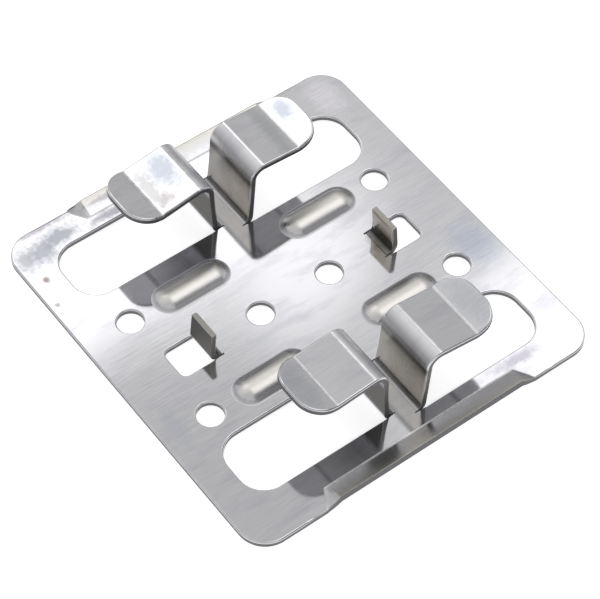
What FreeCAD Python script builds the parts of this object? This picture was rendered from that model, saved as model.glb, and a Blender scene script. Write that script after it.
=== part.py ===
"""Facade cladding clip: one stamped and folded stainless sheet, in millimetres.

The plate lies in XY with its flat back on z = 0 and its front facing +Z. Four hooks hold the
tile edges over the windows that they are lanced from, two tabs stand up behind the tiles, and
four ribs and two tilted edge lips stiffen the plate. The clip repeats after half a turn about Z,
so windows and folds are drawn once, on the side of +Y, and turned.
"""
import FreeCAD, Part
import math
import os

import Sketcher

NODE = "cladding_clip"

# Driving dimensions, millimetres and degrees
SIZES = {
    # plate
    "plate_length": 80.0,
    "plate_width": 75.4,
    "plate_corner": 5.5,
    "sheet": 1.2,
    # rivet holes
    "hole_bore": 5.1,
    "side_hole_span_x": 24.6,
    "side_hole_span_y": 55.4,
    "middle_hole_span": 15.5,
    # windows that the hooks are lanced from
    "window_width": 13.3,
    "window_end": 31.4,
    "window_corner": 5.0,
    "left_window_x": 24.55,
    "right_window_x": 26.65,
    # folded strips: the cut past each fold, and the strip's start inside the plate
    "relief": 0.3,
    "strip_root": 1.0,
    # hooks, as flat runs and folds along a strip
    "hook_gap": 0.2,
    "hook_fold_start": 1.66,
    "foot_radius": 1.0,
    "web_lean": 3.5,
    "web_flat": 10.1,
    "shelf_radius": 1.8,
    "left_shelf_slope": 4.7,
    "right_shelf_slope": 8.9,
    "shelf_flat": 7.6,
    "crease_radius": 1.5,
    "tip_rise": 12.0,
    "tip_flat": 5.3,
    "tip_corner": 4.7,
    # tabs that the backs of the tiles bear on
    "tab_window_width": 6.75,
    "tab_window_end": 27.0,
    "tab_window_corner": 1.3,
    "tab_gap": 0.3,
    "tab_fold_start": 18.5,
    "tab_radius": 1.4,
    "tab_lean": 5.0,
    "tab_flat": 5.0,
    # stiffening ribs, pressed up from the back
    "rib_y": 14.35,
    "rib_length": 15.6,
    "rib_width": 6.2,
    "rib_height": 1.3,
    "rib_foot_radius": 0.8,
    # tilted lips along the two edges that run in Y
    "lip_width": 3.8,
    "lip_angle": 20.5,
    "lip_bend_radius": 1.2,
    "lip_length": 40.0,
    "lip_ramp": 3.1,
    "lip_crease_run": 0.9,
    "lip_run_out": 0.25,
}
SAME = 0.01

doc = FreeCAD.newDocument("clip")
sheet = doc.addObject("Spreadsheet::Sheet", "sizes")
for row, (alias, value) in enumerate(SIZES.items(), start=1):
    sheet.set(f"A{row}", alias)
    sheet.set(f"B{row}", str(value))
    sheet.setAlias(f"B{row}", alias)
doc.recompute()

body = doc.addObject("PartDesign::Body", NODE)
body.Label = NODE


def number(formula):
    return float(sheet.evalExpression(formula))


def origin(role):
    return next(item for item in body.Origin.OriginFeatures if item.Role == role)


def new_sketch(name, role, **offset):
    """A sketch on one of the body's origin planes, moved by formulas for x, y or z."""
    sketch = body.newObject("Sketcher::SketchObject", name)
    sketch.AttachmentSupport = [(origin(role), "")]
    sketch.MapMode = "FlatFace"
    for axis, formula in offset.items():
        sketch.setExpression(f"AttachmentOffset.Base.{axis}", formula)
    return sketch


def bind(sketch, constraint, formula):
    """Adds a dimension to a sketch and ties it to the sheet."""
    index = sketch.addConstraint(constraint)
    sketch.setExpression(f"Constraints[{index}]", formula)


def bind_point(sketch, geometry, end, x_formula, y_formula):
    """Places one point of a sketch by its two coordinates."""
    point = sketch.getPoint(geometry, end)
    bind(sketch, Sketcher.Constraint("DistanceX", -1, 1, geometry, end, point.x), x_formula)
    bind(sketch, Sketcher.Constraint("DistanceY", -1, 1, geometry, end, point.y), y_formula)


def add_polygon(sketch, corners, bends=None):
    """A closed outline; a corner is a pair of formulas, and bends gives sagging edges their radius."""
    bends = bends or {}
    points = [FreeCAD.Vector(number(x), number(y), 0) for x, y in corners]
    ends = []
    for step, (start, end) in enumerate(zip(points, points[1:] + points[:1])):
        edge = Part.LineSegment(start, end)
        if step in bends:
            sag = (end - start).Length ** 2 / (8 * number(bends[step]))
            edge = Part.Arc(start, (start + end) / 2 - FreeCAD.Vector(0, sag, 0), end)
        geometry = sketch.addGeometry(edge, False)
        forward = sketch.getPoint(geometry, 1).isEqual(start, SAME)
        ends.append((geometry, 1, 2) if forward else (geometry, 2, 1))
    for step, (x_formula, y_formula) in enumerate(corners):
        geometry, first, last = ends[step]
        after, after_first, _ = ends[(step + 1) % len(ends)]
        sketch.addConstraint(Sketcher.Constraint("Coincident", geometry, last, after, after_first))
        bind_point(sketch, geometry, first, x_formula, y_formula)
        if step in bends:
            radius = Sketcher.Constraint("Radius", geometry, number(bends[step]))
            bind(sketch, radius, bends[step])


def add_rectangle(sketch, x_low, y_low, x_high, y_high):
    add_polygon(sketch, [(x_low, y_low), (x_high, y_low), (x_high, y_high), (x_low, y_high)])


def add_circle(sketch, x_formula, y_formula, diameter):
    centre = FreeCAD.Vector(number(x_formula), number(y_formula), 0)
    round_edge = Part.Circle(centre, FreeCAD.Vector(0, 0, 1), number(diameter) / 2)
    circle = sketch.addGeometry(round_edge, False)
    bind_point(sketch, circle, 3, x_formula, y_formula)
    bind(sketch, Sketcher.Constraint("Diameter", circle, number(diameter)), diameter)


def add_rod_half(sketch, half_run, radius):
    """Half of a rod with round ends, beside the sketch's own vertical axis."""
    run = number(half_run)
    bow = number(radius)
    up = FreeCAD.Vector(0, 0, 1)
    low = FreeCAD.Vector(0, -run, 0)
    high = FreeCAD.Vector(0, run, 0)
    side = FreeCAD.Vector(bow, 0, 0)
    end = FreeCAD.Vector(0, bow, 0)
    low_round = Part.ArcOfCircle(Part.Circle(low, up, bow), -math.pi / 2, 0)
    high_round = Part.ArcOfCircle(Part.Circle(high, up, bow), 0, math.pi / 2)
    low_arc = sketch.addGeometry(low_round, False)
    wall = sketch.addGeometry(Part.LineSegment(low + side, high + side), False)
    high_arc = sketch.addGeometry(high_round, False)
    axis = sketch.addGeometry(Part.LineSegment(high + end, low - end), False)
    sketch.addConstraint(Sketcher.Constraint("Tangent", low_arc, 2, wall, 1))
    sketch.addConstraint(Sketcher.Constraint("Tangent", wall, 2, high_arc, 1))
    sketch.addConstraint(Sketcher.Constraint("Coincident", high_arc, 2, axis, 1))
    sketch.addConstraint(Sketcher.Constraint("Coincident", axis, 2, low_arc, 1))
    sketch.addConstraint(Sketcher.Constraint("Equal", low_arc, high_arc))
    for geometry, point in ((low_arc, 3), (high_arc, 3), (axis, 1), (axis, 2)):
        sketch.addConstraint(Sketcher.Constraint("PointOnObject", geometry, point, -2))
    bind(sketch, Sketcher.Constraint("DistanceY", low_arc, 3, -1, 1, run), half_run)
    bind(sketch, Sketcher.Constraint("DistanceY", -1, 1, high_arc, 3, run), half_run)
    bind(sketch, Sketcher.Constraint("Radius", low_arc, bow), radius)


def add_strip_path(sketch, y_start, runs):
    """Middle line of a folded strip; each run is a length, a heading and the fold before it."""
    here = FreeCAD.Vector(number(y_start), SIZES["sheet"] / 2, 0)
    heading = 0.0
    before = None
    for length, angle, radius in runs:
        if before is not None:
            turned = math.radians(number(angle))
            bow = number(radius)
            side = math.copysign(1, turned - heading)
            spokes = [
                FreeCAD.Vector(math.sin(turn), -math.cos(turn), 0) * side * bow
                for turn in (heading, (heading + turned) / 2, turned)
            ]
            centre = here - spokes[0]
            fold = Part.Arc(here, centre + spokes[1], centre + spokes[2])
            arc = sketch.addGeometry(fold, False)
            here = centre + spokes[2]
            heading = turned
        run = FreeCAD.Vector(math.cos(heading), math.sin(heading), 0) * number(length)
        line = sketch.addGeometry(Part.LineSegment(here, here + run), False)
        if before is None:
            bind_point(sketch, line, 1, y_start, "sizes.sheet / 2")
            sketch.addConstraint(Sketcher.Constraint("Horizontal", line))
        else:
            into, out_of = (1, 2) if side > 0 else (2, 1)
            sketch.addConstraint(Sketcher.Constraint("Tangent", before, 2, arc, into))
            sketch.addConstraint(Sketcher.Constraint("Tangent", arc, out_of, line, 1))
            bind(sketch, Sketcher.Constraint("Radius", arc, bow), radius)
            bind(sketch, Sketcher.Constraint("Angle", line, heading), f"({angle}) * 1 deg")
        bind(sketch, Sketcher.Constraint("Distance", line, run.Length), length)
        before = line
        here = here + run


def new_feature(kind, name, profile):
    feature = body.newObject(f"PartDesign::{kind}", name)
    feature.Profile = profile
    return feature


def new_cut(name, sketch):
    """Cuts a sketch on the back face right through the sheet."""
    pocket = new_feature("Pocket", name, sketch)
    pocket.Reversed = True
    pocket.setExpression("Length", "sizes.sheet")
    return pocket


def new_strip(name, x_middle, width, y_start, runs):
    """A strip of the sheet, swept along its folds from inside the plate."""
    path = new_sketch(f"{name}_path", "YZ_Plane", z=x_middle)
    add_strip_path(path, y_start, runs)
    section = new_sketch(f"{name}_section", "XZ_Plane", z=f"-({y_start})")
    side = f"({width}) / 2"
    add_rectangle(section, f"{x_middle} - {side}", "0", f"{x_middle} + {side}", "sizes.sheet")
    doc.recompute()
    strip = new_feature("AdditivePipe", name, section)
    edges = range(1, len(path.Shape.Edges) + 1)
    strip.Spine = (path, [f"Edge{edge}" for edge in edges])
    return strip


def half_turn(name, originals):
    """Repeats features after half a turn about Z."""
    pattern = body.newObject("PartDesign::PolarPattern", name)
    pattern.Originals = originals
    pattern.Axis = (origin("Z_Axis"), [""])
    pattern.Angle = 360
    pattern.Occurrences = 2
    body.Tip = pattern


def new_fillet(name, radius, wanted):
    """Rounds the edges of the body so far for which wanted(edge) is true."""
    doc.recompute()
    base = body.Tip
    found = [index for index, edge in enumerate(base.Shape.Edges, start=1) if wanted(edge)]
    fillet = body.newObject("PartDesign::Fillet", name)
    fillet.Base = (base, [f"Edge{index}" for index in found])
    fillet.setExpression("Radius", radius)


def near(value, target):
    """True where a value is the target or its mirror image."""
    return abs(abs(value) - target) < SAME


def is_corner(edge, x, y):
    """True for an upright edge of the plate at plus or minus x and y."""
    box = edge.BoundBox
    upright = box.XLength < SAME and box.YLength < SAME
    return upright and near(box.Center.x, x) and near(box.Center.y, y)


# Plate with round corners
half_length = "sizes.plate_length / 2"
half_width = "sizes.plate_width / 2"
outline = new_sketch("plate_outline", "XY_Plane")
add_rectangle(outline, f"-{half_length}", f"-{half_width}", half_length, half_width)
plate = new_feature("Pad", "plate", outline)
plate.setExpression("Length", "sizes.sheet")
new_fillet(
    "plate_corners",
    "sizes.plate_corner",
    lambda edge: is_corner(edge, SIZES["plate_length"] / 2, SIZES["plate_width"] / 2),
)

# Ribs: the top of a buried rod with round ends, and below it a hollow one sheet smaller
rib_x = "sizes.side_hole_span_x / 2"
rib_bow = "(sizes.rib_width ^ 2 / 4 + sizes.rib_height ^ 2) / (2 * sizes.rib_height)"
rib_half_run = "(sizes.rib_length - sizes.rib_width) / 2"
rib_axis_z = f"sizes.sheet + sizes.rib_height - {rib_bow}"


def new_rods(kind, name, radius):
    """One rod per quarter of the plate, added by Revolution or cut by Groove."""
    sketch = new_sketch(f"{name}_outline", "XY_Plane", x=rib_x, y="sizes.rib_y", z=rib_axis_z)
    add_rod_half(sketch, rib_half_run, radius)
    rod = new_feature(kind, name, sketch)
    rod.ReferenceAxis = (sketch, ["V_Axis"])
    rod.Angle = 360
    mirrors = []
    for plane in ("XZ_Plane", "YZ_Plane"):
        mirror = body.newObject("PartDesign::Mirrored", f"{name}_{plane}")
        mirror.MirrorPlane = (origin(plane), [""])
        mirrors.append(mirror)
    rods = body.newObject("PartDesign::MultiTransform", f"{name}_quarters")
    rods.Originals = [rod]
    rods.Transformations = mirrors
    body.Tip = rods


def is_rib_foot(edge):
    """True for an edge where a rib meets the front of the plate."""
    box = edge.BoundBox
    off_x = abs(abs(box.Center.x) - SIZES["side_hole_span_x"] / 2)
    off_y = abs(abs(box.Center.y) - SIZES["rib_y"])
    on_front = box.ZLength < SAME and near(box.Center.z, SIZES["sheet"])
    in_x = off_x < SIZES["rib_width"] / 2 + SAME
    in_y = off_y < SIZES["rib_length"] / 2 + SAME
    return on_front and in_x and in_y


new_rods("Revolution", "rib", rib_bow)
underside = new_sketch("underside", "XY_Plane")
add_rectangle(underside, f"-{half_length}", f"-{half_width}", half_length, half_width)
flat_back = new_feature("Pocket", "flat_back", underside)
flat_back.Type = "ThroughAll"
new_rods("Groove", "rib_hollow", f"{rib_bow} - sizes.sheet")
new_fillet("rib_feet", "sizes.rib_foot_radius", is_rib_foot)

# Rivet holes: one in each quarter of the plate and two in the middle
hole_centres = new_sketch("hole_centres", "XY_Plane")
side_hole_y = "sizes.side_hole_span_y / 2"
for x_sign in ("-", ""):
    for y_sign in ("-", ""):
        add_circle(hole_centres, f"{x_sign}{rib_x}", f"{y_sign}{side_hole_y}", "sizes.hole_bore")
for y_sign in ("-", ""):
    add_circle(hole_centres, "0", f"{y_sign}sizes.middle_hole_span / 2", "sizes.hole_bore")
new_cut("rivet_holes", hole_centres)

# Windows on the side of +Y, turned, and the round corners at their outer ends
left_x = "-sizes.left_window_x"
right_x = "sizes.right_window_x"
hook_root = "sizes.hook_fold_start - sizes.relief"
tab_root = "sizes.tab_fold_start - sizes.relief"
windows = []
for name, x_middle, width, y_low, y_high in (
    ("left_window", left_x, "sizes.window_width", hook_root, "sizes.window_end"),
    ("right_window", right_x, "sizes.window_width", hook_root, "sizes.window_end"),
    ("tab_window", "0", "sizes.tab_window_width", tab_root, "sizes.tab_window_end"),
):
    opening = new_sketch(f"{name}_outline", "XY_Plane")
    side = f"{width} / 2"
    add_rectangle(opening, f"{x_middle} - {side}", y_low, f"{x_middle} + {side}", y_high)
    windows.append(new_cut(name, opening))
half_turn("windows_turned", windows)


def is_window_corner(edge):
    side = SIZES["window_width"] / 2
    middles = (SIZES["left_window_x"], SIZES["right_window_x"])
    edges_x = [middle + step for middle in middles for step in (-side, side)]
    return any(is_corner(edge, x, SIZES["window_end"]) for x in edges_x)


new_fillet("window_corners", "sizes.window_corner", is_window_corner)
new_fillet(
    "tab_window_corners",
    "sizes.tab_window_corner",
    lambda edge: is_corner(edge, SIZES["tab_window_width"] / 2, SIZES["tab_window_end"]),
)

# Hooks and tab on the side of +Y, folded up from the inner ends of their windows
hook_width = "sizes.window_width - 2 * sizes.hook_gap"
tab_width = "sizes.tab_window_width - 2 * sizes.tab_gap"
hook_start = "sizes.hook_fold_start - sizes.strip_root"
tab_start = "sizes.tab_fold_start - sizes.strip_root"
folds = []
for name, x_middle, slope in (
    ("left_hook", left_x, "sizes.left_shelf_slope"),
    ("right_hook", right_x, "sizes.right_shelf_slope"),
):
    hook_runs = [
        ("sizes.strip_root", "0", None),
        ("sizes.web_flat", "90 - sizes.web_lean", "sizes.foot_radius + sizes.sheet / 2"),
        ("sizes.shelf_flat", f"-{slope}", "sizes.shelf_radius + sizes.sheet / 2"),
        ("sizes.tip_flat", "sizes.tip_rise", "sizes.crease_radius + sizes.sheet / 2"),
    ]
    folds.append(new_strip(name, x_middle, hook_width, hook_start, hook_runs))
tab_runs = [
    ("sizes.strip_root", "0", None),
    ("sizes.tab_flat", "90 + sizes.tab_lean", "sizes.tab_radius + sizes.sheet / 2"),
]
folds.append(new_strip("tab", "0", tab_width, tab_start, tab_runs))

# Lip along the edge at +X: the edge is cut away and put back with a bend. Past the lip's full
# length its crease turns out to the edge, so that a three-sided ramp leads down to the plate.
crease = f"{half_length} - sizes.lip_width"
lip_root = f"{crease} - sizes.lip_bend_radius"
lip_full = "sizes.lip_length / 2"
lip_end = f"{lip_full} + sizes.lip_ramp"
edge_strip = new_sketch("edge_strip", "XY_Plane")
add_rectangle(edge_strip, lip_root, f"-({lip_end})", half_length, lip_end)
folds.append(new_cut("edge_cut", edge_strip))


def add_level_section(sketch):
    """The edge of the plate, with the bend run out to nothing beside its edge."""
    run_out = [f"{half_length} - {step} * sizes.lip_run_out" for step in (2, 1, 0)]
    back = [(x, "0") for x in (lip_root, *run_out)]
    front = [(x, "sizes.sheet") for x, _ in back]
    add_polygon(sketch, back + front[::-1])


def add_tilted_section(sketch, angle):
    """The edge of the plate, bent up by an angle."""
    tilt = f"({angle} * 1 deg)"
    inner = "sizes.lip_bend_radius"
    outer = f"({inner} + sizes.sheet)"
    bend_x = f"{crease} - {inner} * tan({tilt} / 2)"
    front_x = f"{crease} + sizes.lip_width * cos{tilt}"
    front_z = f"sizes.sheet + sizes.lip_width * sin{tilt}"
    corners = [
        (lip_root, "0"),
        (bend_x, "0"),
        (f"{bend_x} + {outer} * sin{tilt}", f"{outer} - {outer} * cos{tilt}"),
        (f"{front_x} + sizes.sheet * sin{tilt}", f"{front_z} - sizes.sheet * cos{tilt}"),
        (front_x, front_z),
        (f"{bend_x} + {inner} * sin{tilt}", f"{outer} - {inner} * cos{tilt}"),
        (bend_x, "sizes.sheet"),
        (lip_root, "sizes.sheet"),
    ]
    add_polygon(sketch, corners, {1: outer, 5: inner})


eased = "sizes.lip_angle * (1 - sizes.lip_crease_run / sizes.lip_ramp)"
stations = [(lip_end, None), (f"{lip_full} + sizes.lip_crease_run", eased), (lip_full, "sizes.lip_angle")]
lip_sections = []
for y_middle, angle in [(f"-({y})", angle) for y, angle in stations] + stations[::-1]:
    section = new_sketch(f"lip_section_{len(lip_sections)}", "XZ_Plane", z=f"-({y_middle})")
    if angle is None:
        add_level_section(section)
    else:
        add_tilted_section(section, angle)
    lip_sections.append(section)
lip = new_feature("AdditiveLoft", "lip", lip_sections[0])
lip.Sections = lip_sections[1:]
lip.Ruled = True
folds.append(lip)
half_turn("folds_turned", folds)

# Round corners of the hook tips
hook_ends = [doc.getObject(f"{name}_path").Shape.BoundBox.YMax for name in ("left_hook", "right_hook")]


def is_tip_corner(edge):
    across = near(edge.Length, SIZES["sheet"])
    return across and any(near(edge.BoundBox.Center.y, y) for y in hook_ends)


new_fillet("tip_corners", "sizes.tip_corner", is_tip_corner)
doc.recompute()

for item in doc.Objects:
    if "Invalid" in item.State or "Error" in item.State:
        raise RuntimeError(f"{item.Name} failed: {item.getStatusString()}")
clip = body.Shape
if clip.isNull() or not clip.isValid() or len(clip.Solids) != 1:
    raise RuntimeError("the clip is not one valid solid")
box = clip.optimalBoundingBox()
print(f"{NODE}: {box.XLength:.2f} x {box.YLength:.2f} x {box.ZLength:.2f} mm, {clip.Volume:.1f} mm3")
os.makedirs("parts", exist_ok=True)
clip.exportStep(f"parts/{NODE}.step")
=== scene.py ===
import math

import bmesh
import bpy
from mathutils import Matrix, Vector
from mathutils.bvhtree import BVHTree


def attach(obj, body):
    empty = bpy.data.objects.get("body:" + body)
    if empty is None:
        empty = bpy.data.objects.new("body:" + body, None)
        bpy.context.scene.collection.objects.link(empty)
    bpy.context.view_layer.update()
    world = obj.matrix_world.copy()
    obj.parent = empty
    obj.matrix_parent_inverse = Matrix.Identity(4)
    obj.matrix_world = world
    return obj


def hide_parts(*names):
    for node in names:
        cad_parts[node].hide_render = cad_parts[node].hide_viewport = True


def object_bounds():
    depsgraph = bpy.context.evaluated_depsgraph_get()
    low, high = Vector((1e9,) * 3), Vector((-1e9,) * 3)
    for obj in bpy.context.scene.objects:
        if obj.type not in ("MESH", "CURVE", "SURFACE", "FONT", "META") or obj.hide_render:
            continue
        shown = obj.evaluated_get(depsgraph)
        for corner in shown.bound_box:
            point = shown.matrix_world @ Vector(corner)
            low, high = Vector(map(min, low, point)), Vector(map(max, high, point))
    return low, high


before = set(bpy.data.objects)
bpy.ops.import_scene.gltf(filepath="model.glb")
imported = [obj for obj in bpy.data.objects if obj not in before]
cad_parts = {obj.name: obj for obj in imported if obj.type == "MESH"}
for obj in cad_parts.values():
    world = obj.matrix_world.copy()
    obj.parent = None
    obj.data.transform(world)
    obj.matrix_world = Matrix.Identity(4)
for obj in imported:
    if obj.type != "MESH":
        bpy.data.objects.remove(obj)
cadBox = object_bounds()
scene = bpy.context.scene
scene.view_settings.view_transform = "Standard"
mm = 0.001


def linear(code):
    parts = [int(code[i:i + 2], 16) / 255 for i in (1, 3, 5)]
    return [c / 12.92 if c <= 0.04045 else ((c + 0.055) / 1.055) ** 2.4 for c in parts] + [1.0]


# adds a node, sets its properties, and fills its inputs with values, sockets, or a node's first live output
def addNode(tree, kind, inputs=None, **settings):
    node = tree.nodes.new(kind)
    for name, value in settings.items():
        setattr(node, name, value)
    for name, value in (inputs or {}).items():
        if isinstance(value, bpy.types.Node):
            value = next(socket for socket in value.outputs if socket.enabled)
        if isinstance(value, bpy.types.NodeSocket):
            tree.links.new(value, node.inputs[name])
        else:
            node.inputs[name].default_value = value
    return node


def newMaterial(name):
    material = bpy.data.materials.new(name)
    material.use_nodes = True
    material.node_tree.nodes.clear()
    return material, material.node_tree


# stains, hazes and spots on the front of this clip, with ragged and speckled outlines, and three marks that
# make the lips darker along their length. Lengths are in mm, and broken and fade are parts of a mark's half
# size.
stain = {"ragged": 1.6, "raggedSize": 2.5, "broken": 1.1, "fade": (0.4, 1.15)}
marks = [
    {"at": (-35.9, -27.6), "half": (2.2, 5.2), "colour": "#808288", "share": 0.9},
    {"at": (-34.4, -31.6), "half": (3.0, 3.2), "colour": "#82848A", "share": 0.85},
    {"at": (-34.6, -35.2), "half": (3.2, 2.8), "colour": "#84868B", "share": 0.8},
    {"at": (-39.4, -29.0), "half": (0.75, 7.5), "colour": "#8B868D", "share": 0.8},
    {"at": (-34.7, -15.0), "half": (1.3, 8.0), "colour": "#78767D", "share": 0.85},
    {"at": (-38.3, -15.0), "half": (0.5, 6.0), "colour": "#8A858D", "share": 0.7},
    {"at": (-28.9, -34.7), "half": (0.9, 0.7), "colour": "#7A6F66", "share": 0.9},
    {"at": (-23.1, -36.3), "half": (0.6, 0.6), "colour": "#858585", "share": 0.8},
    {"at": (-28.6, -8.8), "half": (5.2, 3.4), "colour": "#92979F", "share": 0.85},
    {"at": (-22.8, -11.9), "half": (1.6, 1.8), "colour": "#918A89", "share": 0.7},
    {"at": (-26.6, -13.2), "half": (7.0, 1.7), "colour": "#8A8987", "share": 0.6},
    {"at": (-24.6, 12.2), "half": (9.0, 1.7), "colour": "#A4A8A7", "share": 0.5},
    {"at": (-26.9, 16.9), "half": (3.4, 2.0), "colour": "#9095A0", "share": 0.8},
    {"at": (-33.9, 32.4), "half": (5.5, 3.4), "colour": "#DEDBE0", "share": 0.9},
    {"at": (35.0, 23.2), "half": (1.5, 5.5), "colour": "#9A96A0", "share": 0.8},
    {"at": (10.5, 33.5), "half": (6.0, 5.0), "colour": "#B3B8C7", "share": 0.7},
    {"at": (11.0, -34.0), "half": (5.0, 1.8), "colour": "#BABEC6", "share": 0.5},
    # these three make the lips darker along their length
    {"at": (-38.5, 0.0), "half": (2.6, 27.0), "colour": "#8A888B", "share": 0.4},
    {"at": (38.6, -14.0), "half": (2.6, 8.0), "colour": "#808083", "share": 0.4},
    {"at": (38.6, 14.0), "half": (2.6, 12.0), "colour": "#8C8B8E", "share": 0.3},
    {"at": (24.5, -17.5), "half": (8.0, 3.2), "colour": "#A9ABB0", "share": 0.5},
    {"at": (26.6, 17.5), "half": (8.0, 3.2), "colour": "#A9ABB0", "share": 0.5},
    {"at": (0.0, 19.4), "half": (2.9, 1.8), "colour": "#857E75", "share": 0.8},
]


def stained(tree, inMm, speckle, onFront, colour):
    wander = addNode(tree, "ShaderNodeTexNoise", {
        "Vector": inMm, "Scale": 1 / stain["raggedSize"], "Detail": 4.0}).outputs["Color"]
    shifted = addNode(tree, "ShaderNodeVectorMath", {0: wander, 1: [stain["ragged"]] * 3, 2: inMm},
                      operation="MULTIPLY_ADD")
    broken = addNode(tree, "ShaderNodeMapRange", {
        "Value": speckle, "To Min": -stain["broken"] / 2, "To Max": stain["broken"] / 2})
    for mark in marks:
        middle = [c + stain["ragged"] / 2 for c in mark["at"]] + [0]
        perHalf = [1 / half for half in mark["half"]] + [0]
        off = addNode(tree, "ShaderNodeVectorMath", {0: shifted, 1: middle}, operation="SUBTRACT")
        sized = addNode(tree, "ShaderNodeVectorMath", {0: off, 1: perHalf}, operation="MULTIPLY")
        far = addNode(tree, "ShaderNodeVectorMath", {0: sized}, operation="LENGTH")
        uneven = addNode(tree, "ShaderNodeMath", {0: far, 1: broken}, operation="ADD")
        inside = addNode(tree, "ShaderNodeMapRange", {
            "Value": uneven, "From Min": stain["fade"][0], "From Max": stain["fade"][1],
            "To Min": mark["share"], "To Max": 0.0})
        shown = addNode(tree, "ShaderNodeMath", {0: inside, 1: onFront}, operation="MULTIPLY")
        colour = addNode(tree, "ShaderNodeMix", {
            "Factor": shown, "A": colour, "B": linear(mark["colour"])}, data_type="RGBA")
    return colour


# forming oil and painted shade: the oil dulls the webs, most on their backs, and a warm tint lies on their
# fronts;
# painted shade darkens their backs, thin under the shelves and most so towards -X -Y, and lies in bands below
# the upper folds and at the feet. Lengths are in mm.
oilAndShade = {"front": "#CFC7B2", "frontShare": 0.45, "frontDull": 0.16, "back": "#6A6967", "backDull": 0.48,
       "upperShare": (0.05, 0.39), "upperSpan": (-30.0, -8.0), "starts": (1.7, 2.7), "ends": (10.6, 12.6),
       "shadeColour": "#3D3B39", "bandAt": 11.5, "bandHalf": 1.6, "bandShare": 0.6, "footShadeShare": 0.4}


def oiledAndShaded(tree, inMm, back, onFront, colour):
    height = addNode(tree, "ShaderNodeSeparateXYZ", {"Vector": inMm}).outputs["Z"]
    low = addNode(tree, "ShaderNodeMapRange", {
        "Value": height, "From Min": oilAndShade["starts"][0], "From Max": oilAndShade["starts"][1]})
    high = addNode(tree, "ShaderNodeMapRange", {
        "Value": height, "From Min": oilAndShade["ends"][0], "From Max": oilAndShade["ends"][1],
        "To Min": 1.0, "To Max": 0.0})
    front = addNode(tree, "ShaderNodeMath", {0: high, 1: oilAndShade["frontShare"]}, operation="MULTIPLY")
    # painted shade under the shelves, growing towards -X -Y
    aside = addNode(tree, "ShaderNodeVectorMath", {0: inMm, 1: (1, 1, 0)}, operation="DOT_PRODUCT")
    upper = addNode(tree, "ShaderNodeMapRange", {
        "Value": aside, "From Min": oilAndShade["upperSpan"][0], "From Max": oilAndShade["upperSpan"][1],
        "To Min": oilAndShade["upperShare"][0], "To Max": oilAndShade["upperShare"][1]})
    behind = addNode(tree, "ShaderNodeMath", {0: high, 1: upper}, operation="MAXIMUM")
    share = addNode(tree, "ShaderNodeMix", {"Factor": back, "A": front, "B": behind})
    covered = addNode(tree, "ShaderNodeMath", {0: low, 1: share}, operation="MULTIPLY")
    # painted shade: the dark colour on the backs; the warm colour on the fronts is a tint
    tintAndShade = addNode(tree, "ShaderNodeMix", {
        "Factor": back, "A": linear(oilAndShade["front"]), "B": linear(oilAndShade["back"])}, data_type="RGBA")
    colour = addNode(tree, "ShaderNodeMix", {"Factor": covered, "A": colour, "B": tintAndShade}, data_type="RGBA")
    # painted shade: dark bands below the upper folds and at the feet
    off = addNode(tree, "ShaderNodeMath", {0: height, 1: oilAndShade["bandAt"]}, operation="SUBTRACT")
    away = addNode(tree, "ShaderNodeMath", {0: off}, operation="ABSOLUTE")
    foldShade = addNode(tree, "ShaderNodeMapRange", {
        "Value": away, "From Min": 0.0, "From Max": oilAndShade["bandHalf"],
        "To Min": oilAndShade["bandShare"], "To Max": 0.0}, interpolation_type="SMOOTHSTEP")
    frontFoldShade = addNode(tree, "ShaderNodeMath", {0: foldShade, 1: onFront}, operation="MULTIPLY")
    atFoot = addNode(tree, "ShaderNodeAttribute", attribute_name="foot").outputs["Fac"]
    footShade = addNode(tree, "ShaderNodeMath", {0: atFoot, 1: oilAndShade["footShadeShare"]}, operation="MULTIPLY")
    shadeBands = addNode(tree, "ShaderNodeMath", {0: frontFoldShade, 1: footShade}, operation="MAXIMUM")
    colour = addNode(tree, "ShaderNodeMix", {
        "Factor": shadeBands, "A": colour, "B": linear(oilAndShade["shadeColour"])}, data_type="RGBA")
    # how much the film dulls the metal
    upTo = addNode(tree, "ShaderNodeMath", {0: high, 1: back}, operation="MAXIMUM")
    wet = addNode(tree, "ShaderNodeMath", {0: low, 1: upTo}, operation="MULTIPLY")
    dull = addNode(tree, "ShaderNodeMix", {"Factor": back, "A": oilAndShade["frontDull"], "B": oilAndShade["backDull"]})
    return colour, addNode(tree, "ShaderNodeMath", {0: wet, 1: dull}, operation="MULTIPLY")


# rolled face of the sheet: bright cold-rolled stainless with fine lines along Y from the rolls, which streak
# its reflections and are drawn wider than real ones, so that they show. Forming dulled it. Where the shelves
# and tips begin, and on the near lip's bend, a light colour is a painted highlight broken up by the punch's
# rub marks.
# Lengths are in mm.
face = {"colour": "#CBCBCE", "roughness": (0.06, 0.11), "roughSpan": (0.25, 0.75), "formedDull": 0.36,
        "lineSize": (0.2, 7.143, 7.143), "lineDepth": 0.0002, "lineShade": 0.045, "lineSpan": (0.3, 0.7),
        "waveSize": 17.0, "waveDepth": 0.01,
        "smudge": "#B6B6BD", "smudgeSize": (3.333, 11.11, 11.11), "smudgeSpan": (0.5, 0.75),
        "smudgeShare": 0.7, "smudgeDull": 0.04, "speckleSize": 0.909,
        "rubAndHighlight": "#E9E8E6", "rubAndHighlightSpan": (0.35, 0.6), "rubAndHighlightLeast": 0.25}


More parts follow.
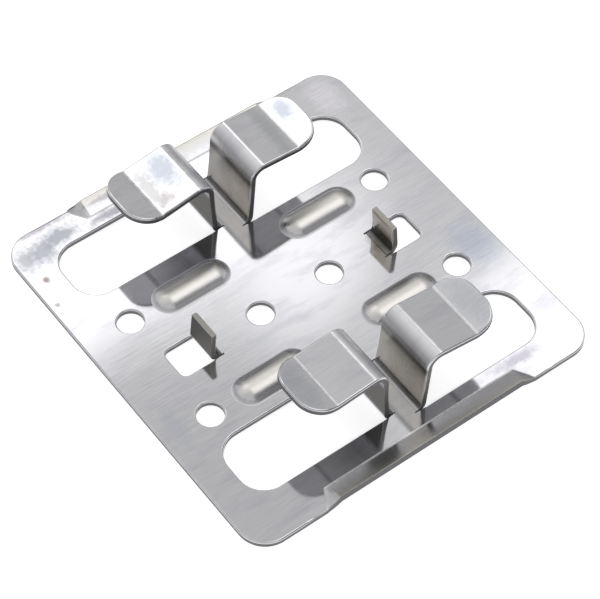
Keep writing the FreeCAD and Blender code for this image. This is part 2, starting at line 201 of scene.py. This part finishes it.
def rolledFace():
    material, tree = newMaterial("cold rolled stainless")
    spot = addNode(tree, "ShaderNodeTexCoord").outputs["Object"]
    inMm = addNode(tree, "ShaderNodeVectorMath", {"Vector": spot, "Scale": 1 / mm}, operation="SCALE")
    back, formedAndLit, rubbedAndHighlit = (addNode(tree, "ShaderNodeAttribute", attribute_name=name).outputs["Fac"]
                              for name in ("back", "formedAndLit", "rubbedAndHighlit"))
    onFront = addNode(tree, "ShaderNodeMath", {0: 1.0, 1: back}, operation="SUBTRACT")
    along = addNode(tree, "ShaderNodeVectorMath", {0: inMm, 1: face["lineSize"]}, operation="DIVIDE")
    lines = addNode(tree, "ShaderNodeTexNoise", {
        "Vector": along, "Scale": 1.0, "Detail": 3.0, "Roughness": 0.65})
    waves = addNode(tree, "ShaderNodeTexNoise", {
        "Vector": inMm, "Scale": 1 / face["waveSize"], "Detail": 2.0, "Roughness": 0.45})
    speckle = addNode(tree, "ShaderNodeTexNoise", {
        "Vector": inMm, "Scale": 1 / face["speckleSize"], "Detail": 5.0, "Roughness": 0.65})
    wiped = addNode(tree, "ShaderNodeVectorMath", {0: inMm, 1: face["smudgeSize"]}, operation="DIVIDE")
    blots = addNode(tree, "ShaderNodeTexNoise", {
        "Vector": wiped, "Scale": 1.0, "Detail": 4.0, "Roughness": 0.6})
    smudged = addNode(tree, "ShaderNodeMapRange", {
        "Value": blots, "From Min": face["smudgeSpan"][0], "From Max": face["smudgeSpan"][1],
        "To Max": face["smudgeShare"]})
    clean = addNode(tree, "ShaderNodeMix", {
        "Factor": smudged, "A": linear(face["colour"]), "B": linear(face["smudge"])}, data_type="RGBA")
    marked = stained(tree, inMm, speckle, onFront, clean)
    shade = addNode(tree, "ShaderNodeMapRange", {
        "Value": lines, "From Min": face["lineSpan"][0], "From Max": face["lineSpan"][1],
        "To Min": 1 - face["lineShade"], "To Max": 1 + face["lineShade"]})
    lined = addNode(tree, "ShaderNodeVectorMath", {0: marked, "Scale": shade}, operation="SCALE")
    tintedAndShaded, oilDull = oiledAndShaded(tree, inMm, back, onFront, lined)
    # painted highlight, broken up by rub marks, on the creases and the near lip's bend
    dotted = addNode(tree, "ShaderNodeMapRange", {
        "Value": speckle, "From Min": face["rubAndHighlightSpan"][0], "From Max": face["rubAndHighlightSpan"][1],
        "To Min": face["rubAndHighlightLeast"]})
    rubAndHighlightShare = addNode(tree, "ShaderNodeMath", {0: rubbedAndHighlit, 1: dotted}, operation="MULTIPLY")
    colour = addNode(tree, "ShaderNodeMix", {
        "Factor": rubAndHighlightShare, "A": tintedAndShaded, "B": linear(face["rubAndHighlight"])}, data_type="RGBA")
    rough = addNode(tree, "ShaderNodeMapRange", {
        "Value": lines, "From Min": face["roughSpan"][0], "From Max": face["roughSpan"][1],
        "To Min": face["roughness"][0], "To Max": face["roughness"][1]})
    for dulling, amount in ((smudged, face["smudgeDull"]), (oilDull, 1.0), (formedAndLit, face["formedDull"])):
        rough = addNode(tree, "ShaderNodeMath", {0: dulling, 1: amount, 2: rough}, operation="MULTIPLY_ADD")
    wavy = addNode(tree, "ShaderNodeBump", {
        "Strength": 1.0, "Distance": face["waveDepth"] * mm, "Height": waves})
    scored = addNode(tree, "ShaderNodeBump", {
        "Strength": 1.0, "Distance": face["lineDepth"] * mm, "Height": lines, "Normal": wavy})
    shader = addNode(tree, "ShaderNodeBsdfPrincipled", {
        "Base Color": colour, "Metallic": 1.0, "Roughness": rough, "Normal": scored})
    addNode(tree, "ShaderNodeOutputMaterial", {"Surface": shader})
    return material


# sheared edge: torn by the die, so dull and dark, with painted light on edges that face up, such as the tabs'
# ends, and in the slits beside the folds. Lengths are in mm.
edge = {"colour": "#6A696B", "paintedLight": "#989690", "roughness": (0.32, 0.54), "grainSize": 0.286,
        "tornDepth": 0.02, "tornStrength": 0.4}


def shearedEdge():
    material, tree = newMaterial("sheared stainless edge")
    spot = addNode(tree, "ShaderNodeTexCoord").outputs["Object"]
    inMm = addNode(tree, "ShaderNodeVectorMath", {"Vector": spot, "Scale": 1 / mm}, operation="SCALE")
    grain = addNode(tree, "ShaderNodeTexNoise", {
        "Vector": inMm, "Scale": 1 / edge["grainSize"], "Detail": 2.0})
    rough = addNode(tree, "ShaderNodeMapRange", {
        "Value": grain, "To Min": edge["roughness"][0], "To Max": edge["roughness"][1]})
    torn = addNode(tree, "ShaderNodeBump", {
        "Strength": edge["tornStrength"], "Distance": edge["tornDepth"] * mm, "Height": grain})
    formedAndLit = addNode(tree, "ShaderNodeAttribute", attribute_name="formedAndLit").outputs["Fac"]
    # painted light on edges that face up and in the slits beside the folds
    colour = addNode(tree, "ShaderNodeMix", {
        "Factor": formedAndLit, "A": linear(edge["colour"]), "B": linear(edge["paintedLight"])}, data_type="RGBA")
    shader = addNode(tree, "ShaderNodeBsdfPrincipled", {
        "Base Color": colour, "Metallic": 1.0, "Roughness": rough, "Normal": torn})
    addNode(tree, "ShaderNodeOutputMaterial", {"Surface": shader})
    return material


# the clip itself: the CAD sheet with its sheared edges rounded, each kind of edge by its own share
clip = {
    "node": "cladding_clip", "sheet": 1.2 * mm, "thickest": 1.7 * mm,
    "same": 0.001 * mm, "hair": 0.01 * mm, "level": 0.9999, "flatAngle": 0.3,  # tolerances
    "edgeRound": 0.36 * mm, "edgeSteps": 4,
    "shares": {"fold": 0.9, "corner": 0.83, "side": 0.6, "lip": 0.17, "farLip": 1.0, "back": 0.2,
               "hole": 0.75, "slit": 0.12},
    # heights and places of the folds, ribs and lips, and where the plate's outer rim starts along X and Y
    "foldFrom": 5.0 * mm, "ribTop": 2.7 * mm, "ribFoot": 1.65 * mm, "lifted": 0.05 * mm,
    "lipFrom": 34 * mm, "lipBendTo": 36.6 * mm, "lipTo": 27.5 * mm, "sideTo": 31.5 * mm,
    "border": (36 * mm, 34 * mm),
    # feet of the hooks and tabs: their spans along Y, their reach along X, and how strong the painted shade
    # is there
    "feet": [{"y": (1.2 * mm, 4.2 * mm), "x": 34 * mm, "oilAndShade": 1.0},
             {"y": (18.0 * mm, 21.4 * mm), "x": 4.2 * mm, "oilAndShade": 1.9}],
    # how high the feet reach, and how strong the painted shade at the ribs' feet is
    "feetTo": 2.5 * mm, "ribFootShade": 0.35,
    # how much forming dulled each kind of face
    "dulled": {"fold": 1.0, "rib": 0.4, "ribFoot": 0.9, "lip": 0.3, "crease": 0.2},
    "formedUnder": 10 * mm * mm, "flatOver": 30 * mm * mm, "cutOver": 1.0 * mm * mm,
    "creaseOver": 5 * mm, "creaseFacing": 0.7, "endFacing": 0.5,
    # straight rims that are split: webs' sides, plate's sides, and the ends of the lips' edges
    "webClimb": 3 * mm, "webSplit": [0.4],
    "sideFrom": 37 * mm, "sideOver": 30 * mm, "sideSplits": [0.05, 0.95],
    "endFrom": 39 * mm, "endRun": (5 * mm, 20 * mm), "endSplit": [0.5],
}


# the foot of a hook or tab at this place on the plate, if there is one
def footAt(spot):
    for foot in clip["feet"]:
        if foot["y"][0] < abs(spot.y) < foot["y"][1] and abs(spot.x) < foot["x"]:
            return foot
    return None


# shares change only within a straight run, because a change at a slight bend makes the bevel overshoot
def edgeShare(rim, onBack):
    spot = (rim.verts[0].co + rim.verts[1].co) / 2
    x, y = abs(spot.x), abs(spot.y)
    if onBack:
        kind = "back"
    elif spot.z > clip["foldFrom"]:
        kind = "fold"
    elif x > clip["border"][0]:
        lip = "lip" if spot.x > 0 else "farLip"
        kind = lip if y < clip["lipTo"] else "corner"
    elif y > clip["border"][1]:
        kind = "side" if x < clip["sideTo"] else "corner"
    else:
        kind = "slit" if footAt(spot) or spot.z > clip["sheet"] + clip["lifted"] else "hole"
    return clip["shares"][kind]


# where a straight rim is split: the vertex to start from, and parts of its length
def splits(rim):
    long = rim.calc_length()
    low, high = sorted(rim.verts, key=lambda v: v.co.z)
    if high.co.z - low.co.z > clip["webClimb"]:
        return low, clip["webSplit"]
    if min(abs(v.co.y) for v in rim.verts) > clip["sideFrom"] and long > clip["sideOver"]:
        return low, clip["sideSplits"]
    shortest, longest = clip["endRun"]
    if min(abs(v.co.x) for v in rim.verts) > clip["endFrom"] and shortest < long < longest:
        return low, clip["endSplit"]
    # a window's side is split where the foot beside it ends
    inner, outer = sorted(rim.verts, key=lambda v: abs(v.co.y))
    foot = footAt(inner.co)
    if foot and abs(inner.co.x - outer.co.x) < clip["hair"] and foot["y"][1] < abs(outer.co.y):
        return inner, [(foot["y"][1] - abs(inner.co.y)) / long]
    return low, []


# a rolled face has the sheet's other side close behind it, a sheared edge doesn't
def tellEdges(build):
    tree = BVHTree.FromBMesh(build)
    for tri in build.faces:
        start = tri.calc_center_median() - tri.normal * clip["hair"]
        hit = tree.ray_cast(start, -tri.normal)
        tri.material_index = 0 if hit[0] is not None and hit[3] < clip["thickest"] else 1


# flat runs become one face each, but the plate has holes and stays in triangles
def mergeFlats(build):
    plate = {f for f in build.faces if abs(f.normal.z) > clip["level"]
             and min(abs(f.verts[0].co.z - z) for z in (0.0, clip["sheet"])) < clip["same"]}
    loose = [rim for rim in build.edges if not plate.intersection(rim.link_faces)]
    bmesh.ops.dissolve_limit(build, angle_limit=math.radians(clip["flatAngle"]), verts=[], edges=loose,
                             delimit={"MATERIAL"})


# rolled faces that can be walked to from the plate's top are the sheet's front, the others its back
def tellBack(build, back):
    for f in build.faces:
        f[back] = 1.0 - f.material_index
    tops = [f for f in build.faces if f.normal.z > clip["level"] and f.material_index == 0]
    walk = [max(tops, key=lambda f: f.calc_area())]
    while walk:
        f = walk.pop()
        f[back] = 0.0
        walk += [g for rim in f.edges for g in rim.link_faces if g.material_index == 0 and g[back] == 1.0]


# what was bent or pressed is still in small faces; on sheared edges the same value marks painted light, and
# feet and creases get painted shade and highlight
def tellFormedAndPainted(build, back, formedAndLit, foot, rubbedAndHighlit):
    dulled = clip["dulled"]
    for f in build.faces:
        f.smooth = True
        spot = f.calc_center_median()
        level = abs(f.normal.z) > clip["level"] and spot.z < clip["sheet"] + clip["hair"]
        inLip = abs(spot.x) > clip["lipFrom"]
        onFront = f[back] == 0.0
        onFoot = footAt(spot) if spot.z < clip["feetTo"] else None
        if f.material_index == 1:
            # painted light on sheared edges that face up and on the slit walls at the feet
            f[formedAndLit] = 1.0 if onFoot or f.normal.z > clip["endFacing"] else 0.0
        elif f.calc_area() < clip["formedUnder"] and not level:
            f[formedAndLit] = dulled["fold"] if inLip or spot.z > clip["ribTop"] else dulled["rib"]
            # painted shade at the feet of the hooks and tabs, and at the ribs' feet
            if onFront and onFoot:
                f[foot] = onFoot["oilAndShade"]
            elif onFront and not inLip and spot.z < clip["ribFoot"]:
                f[formedAndLit] = dulled["ribFoot"]
                f[foot] = clip["ribFootShade"]
            # the punch rubbed the creases, which have a large flat face on one side, and the near lip's bend;
            # a painted highlight lies on them
            beside = [g for rim in f.edges if rim.calc_length() > clip["creaseOver"] for g in rim.link_faces]
            facing = spot.z > clip["foldFrom"] and f.normal.z > clip["creaseFacing"]
            if facing and any(g.calc_area() > clip["flatOver"] for g in beside):
                f[rubbedAndHighlit] = 1.0
                f[formedAndLit] = dulled["crease"]
            if onFront and clip["lipFrom"] < spot.x < clip["lipBendTo"]:
                f[rubbedAndHighlit] = 1.0
        elif inLip and not level:
            f[formedAndLit] = dulled["lip"]


def shareRounding(build, back, share):
    rims = [rim for rim in build.edges if len({f.material_index for f in rim.link_faces}) == 2]
    for rim in rims[:]:
        start, parts = splits(rim)
        done = 0.0
        for part in parts:
            cut, start = bmesh.utils.edge_split(rim, start, (part - done) / (1 - done))
            rims.append(cut)
            done = part
    for rim in rims:
        rim[share] = edgeShare(rim, any(f[back] for f in rim.link_faces if f.material_index == 0))


def roundedMesh(piece):
    rounding = piece.modifiers.new("rounding", "BEVEL")
    rounding.limit_method = "WEIGHT"
    rounding.width = clip["edgeRound"]
    rounding.segments = clip["edgeSteps"]
    rounding.use_clamp_overlap = False
    rounding.loop_slide = False
    rounding.material = 0
    rounding.face_strength_mode = "FSTR_ALL"
    weigh = piece.modifiers.new("weigh", "WEIGHTED_NORMAL")
    weigh.mode = "FACE_AREA"
    weigh.weight = 50
    weigh.use_face_influence = True
    bpy.context.view_layer.update()
    plain = bpy.data.meshes.new_from_object(piece.evaluated_get(bpy.context.evaluated_depsgraph_get()))
    piece.modifiers.clear()
    for v in plain.vertices:
        v.co = [min(max(c, low), high) for c, low, high in zip(v.co, *cadBox)]
    return plain


# level faces and long cut edges stay flat to the eye, whatever joins them
def keepFlat(plain):
    normals = [n.vector.copy() for n in plain.corner_normals]
    sides = ((1, clip["sheet"]), (-1, 0.0))
    level = {v: Vector((0, 0, side)) for f in plain.polygons for side, z in sides
             if f.normal.z * side > clip["level"] and abs(f.center.z - z) < clip["same"] for v in f.vertices}
    for corner in plain.loops:
        if corner.vertex_index in level:
            normals[corner.index] = level[corner.vertex_index]
    for f in plain.polygons:
        if f.material_index == 1 and f.area > clip["cutOver"]:
            for i in f.loop_indices:
                normals[i] = f.normal.copy()
    plain.normals_split_custom_set(normals)


def clipSheet():
    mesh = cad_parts[clip["node"]].data.copy()
    build = bmesh.new()
    build.from_mesh(mesh)
    bmesh.ops.remove_doubles(build, verts=build.verts, dist=clip["same"])
    build.normal_update()
    tellEdges(build)
    mergeFlats(build)
    # all layers are made before any is used, because a new one would unsettle the others
    names = ("back", "formedAndLit", "foot", "rubbedAndHighlit")
    for name in names:
        build.faces.layers.float.new(name)
    share = build.edges.layers.float.new("bevel_weight_edge")
    back, formedAndLit, foot, rubbedAndHighlit = (build.faces.layers.float[name] for name in names)
    tellBack(build, back)
    tellFormedAndPainted(build, back, formedAndLit, foot, rubbedAndHighlit)
    shareRounding(build, back, share)
    mesh.materials.clear()
    build.to_mesh(mesh)
    build.free()
    mesh.materials.append(rolledFace())
    mesh.materials.append(shearedEdge())
    piece = bpy.data.objects.new("clip_sheet", mesh)
    scene.collection.objects.link(piece)
    piece.data = roundedMesh(piece)
    piece.data.name = "clip_sheet"
    keepFlat(piece.data)
    return piece


piece = clipSheet()
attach(piece, "root")
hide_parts(clip["node"])
print("clip sheet:", len(piece.data.polygons), "faces")


# white table of matt laminate: it keeps the shadow, and a little of its own light brings it up to white
table = {"size": 8.0, "height": -0.02 * mm, "colour": "#F6F6F6", "lift": 0.58}


def tableTop():
    material, tree = newMaterial("matt white laminate")
    path = addNode(tree, "ShaderNodeLightPath").outputs
    seen = addNode(tree, "ShaderNodeMath", {0: path["Is Camera Ray"], 1: path["Is Glossy Ray"]},
                   operation="ADD")
    seenAll = addNode(tree, "ShaderNodeMath", {0: seen, 1: path["Is Transmission Ray"]}, operation="ADD")
    lift = addNode(tree, "ShaderNodeMath", {0: seenAll, 1: table["lift"]}, operation="MULTIPLY")
    matt = addNode(tree, "ShaderNodeBsdfDiffuse", {"Color": linear(table["colour"])})
    white = addNode(tree, "ShaderNodeEmission", {"Color": (1, 1, 1, 1), "Strength": lift})
    both = addNode(tree, "ShaderNodeAddShader", {0: matt, 1: white})
    addNode(tree, "ShaderNodeOutputMaterial", {"Surface": both})
    half = table["size"] / 2
    mesh = bpy.data.meshes.new("table")
    corners = [(-half, -half), (half, -half), (half, half), (-half, half)]
    mesh.from_pydata([(x, y, table["height"]) for x, y in corners], [], [(0, 1, 2, 3)])
    mesh.materials.append(material)
    floor = bpy.data.objects.new("table", mesh)
    scene.collection.objects.link(floor)


tableTop()
print("table: done")

# softboxes: where each stands seen from the clip, the way of its long side, its size as a share of its
# distance, and its brightness in a mirror
softboxes = {
    "left": {"toward": (-0.592, 0.135, 0.805), "along": (-0.078, 1.0, -0.058),
             "size": (0.50, 0.20), "bright": 1.3},
    "above": {"toward": (-0.02, 0.37, 0.929), "along": (1.0, 0.0, 0.02),
              "size": (0.56, 0.42), "bright": 1.5},
    "back": {"toward": (-0.360, 0.447, 0.819), "along": (0.0, 1.0, -0.546),
             "size": (0.125, 0.131), "bright": 1.0},
}
lampAway = 6.0


def lamps():
    for name, box in softboxes.items():
        lamp = bpy.data.lights.new(name, "AREA")
        lamp.shape = "RECTANGLE"
        lamp.size, lamp.size_y = (side * lampAway for side in box["size"])
        lamp.energy = box["bright"] * lamp.size * lamp.size_y * math.pi  # watts for that brightness
        lampObject = bpy.data.objects.new(name, lamp)
        back = Vector(box["toward"]).normalized()
        side = Vector(box["along"])
        side = (side - back * side.dot(back)).normalized()
        turned = Matrix((side, back.cross(side), back)).transposed().to_4x4()
        lampObject.matrix_world = Matrix.Translation(back * lampAway) @ turned
        scene.collection.objects.link(lampObject)


# walls and ceiling: in a cross about one direction, brightness goes by the lean towards +Y, and is less
# towards +X and near the horizon. Elsewhere it is plain. Two small bright patches are beside the left box.
room = {
    "lean": [(-1.0, 0.3), (-0.6, 0.85), (-0.35, 1.0), (0.0, 1.0), (0.235, 0.78), (0.31, 0.70), (0.37, 0.78),
             (0.43, 0.88), (0.5, 0.71), (1.0, 0.62)],
    "sideSpan": (-0.3, 0.4), "sideShare": 0.4, "riseSpan": (0.05, 0.6), "horizon": 0.12,
    "cross": (-0.463, 0.364), "crossHalf": (0.18, 0.4), "plain": 0.75,
    "patches": [{"toward": (-0.4714, 0.3732, 0.799), "half": (0.020, 0.028), "bright": 0.95},
                {"toward": (-0.487, 0.327, 0.810), "half": (0.015, 0.017), "bright": 0.3}],
    "patchFade": (0.5, 1.6),
}


def studio():
    world = bpy.data.worlds.new("studio")
    world.use_nodes = True
    tree = world.node_tree
    tree.nodes.clear()
    way = addNode(tree, "ShaderNodeTexCoord").outputs["Generated"]
    parts = addNode(tree, "ShaderNodeSeparateXYZ", {"Vector": way}).outputs
    lean = addNode(tree, "ShaderNodeMapRange", {"Value": parts["Y"], "From Min": -1.0, "From Max": 1.0})
    walls = addNode(tree, "ShaderNodeValToRGB", {"Fac": lean})
    stops = walls.color_ramp.elements
    while len(stops) < len(room["lean"]):
        stops.new(0.5)
    for stop, (y, bright) in zip(stops, room["lean"]):
        stop.position = (y + 1) / 2
        stop.color = (bright, bright, bright, 1)
    side = addNode(tree, "ShaderNodeMapRange", {
        "Value": parts["X"], "From Min": room["sideSpan"][0], "From Max": room["sideSpan"][1],
        "To Min": 1.0, "To Max": room["sideShare"]})
    rise = addNode(tree, "ShaderNodeMapRange", {
        "Value": parts["Z"], "From Min": room["riseSpan"][0], "From Max": room["riseSpan"][1],
        "To Min": room["horizon"], "To Max": 1.0})
    share = addNode(tree, "ShaderNodeMath", {0: side, 1: rise}, operation="MULTIPLY")
    shaded = addNode(tree, "ShaderNodeVectorMath", {0: walls, "Scale": share}, operation="SCALE")
    offs = []
    for axis, middle in zip("XY", room["cross"]):
        off = addNode(tree, "ShaderNodeMath", {0: parts[axis], 1: middle}, operation="SUBTRACT")
        offs.append(addNode(tree, "ShaderNodeMath", {0: off}, operation="ABSOLUTE"))
    nearest = addNode(tree, "ShaderNodeMath", {0: offs[0], 1: offs[1]}, operation="MINIMUM")
    even = addNode(tree, "ShaderNodeMapRange", {
        "Value": nearest, "From Min": room["crossHalf"][0], "From Max": room["crossHalf"][1]},
        interpolation_type="SMOOTHSTEP")
    wall = addNode(tree, "ShaderNodeMix", {
        "Factor": even, "A": shaded, "B": [room["plain"]] * 3 + [1]}, data_type="RGBA")
    for patch in room["patches"]:
        perHalf = [1 / half for half in patch["half"]] + [1]
        off = addNode(tree, "ShaderNodeVectorMath", {0: way, 1: patch["toward"]}, operation="SUBTRACT")
        sized = addNode(tree, "ShaderNodeVectorMath", {0: off, 1: perHalf}, operation="MULTIPLY")
        far = addNode(tree, "ShaderNodeVectorMath", {0: sized}, operation="LENGTH")
        glow = addNode(tree, "ShaderNodeMapRange", {
            "Value": far, "From Min": room["patchFade"][0], "From Max": room["patchFade"][1],
            "To Min": patch["bright"], "To Max": 0.0}, interpolation_type="SMOOTHSTEP")
        wall = addNode(tree, "ShaderNodeVectorMath", {0: wall, 1: glow}, operation="ADD")
    sky = addNode(tree, "ShaderNodeBackground", {"Color": wall, "Strength": 1.0})
    addNode(tree, "ShaderNodeOutputWorld", {"Surface": sky})
    scene.world = world


lamps()
studio()
print("lights: done")

# camera worked out from the plate's outline in the photo: degrees and mm, but nearFar is in metres
view = {"turn": 51.84, "rise": 53.91, "roll": 1.6, "lens": 147.36, "sensor": 36.0, "nearFar": (0.01, 20.0),
        "aim": (0.066, 0.0, 1.2), "shift": (0.814, -1.221), "away": 444.24}


def camera():
    turn, rise, roll = (math.radians(view[k]) for k in ("turn", "rise", "roll"))
    back = Vector((math.sin(turn) * math.cos(rise), -math.cos(turn) * math.cos(rise), math.sin(rise)))
    flat = Vector((math.cos(turn), math.sin(turn), 0))
    up = back.cross(flat)
    right = flat * math.cos(roll) + up * math.sin(roll)
    top = up * math.cos(roll) - flat * math.sin(roll)
    place = Vector(view["aim"]) + right * view["shift"][0] + top * view["shift"][1] + back * view["away"]
    data = bpy.data.cameras.new("camera")
    data.lens = view["lens"]
    data.sensor_width = view["sensor"]
    data.clip_start, data.clip_end = view["nearFar"]
    cam = bpy.data.objects.new("camera", data)
    cam.matrix_world = Matrix.Translation(place * mm) @ Matrix((right, top, back)).transposed().to_4x4()
    scene.collection.objects.link(cam)
    scene.camera = cam


camera()
print("camera: done")
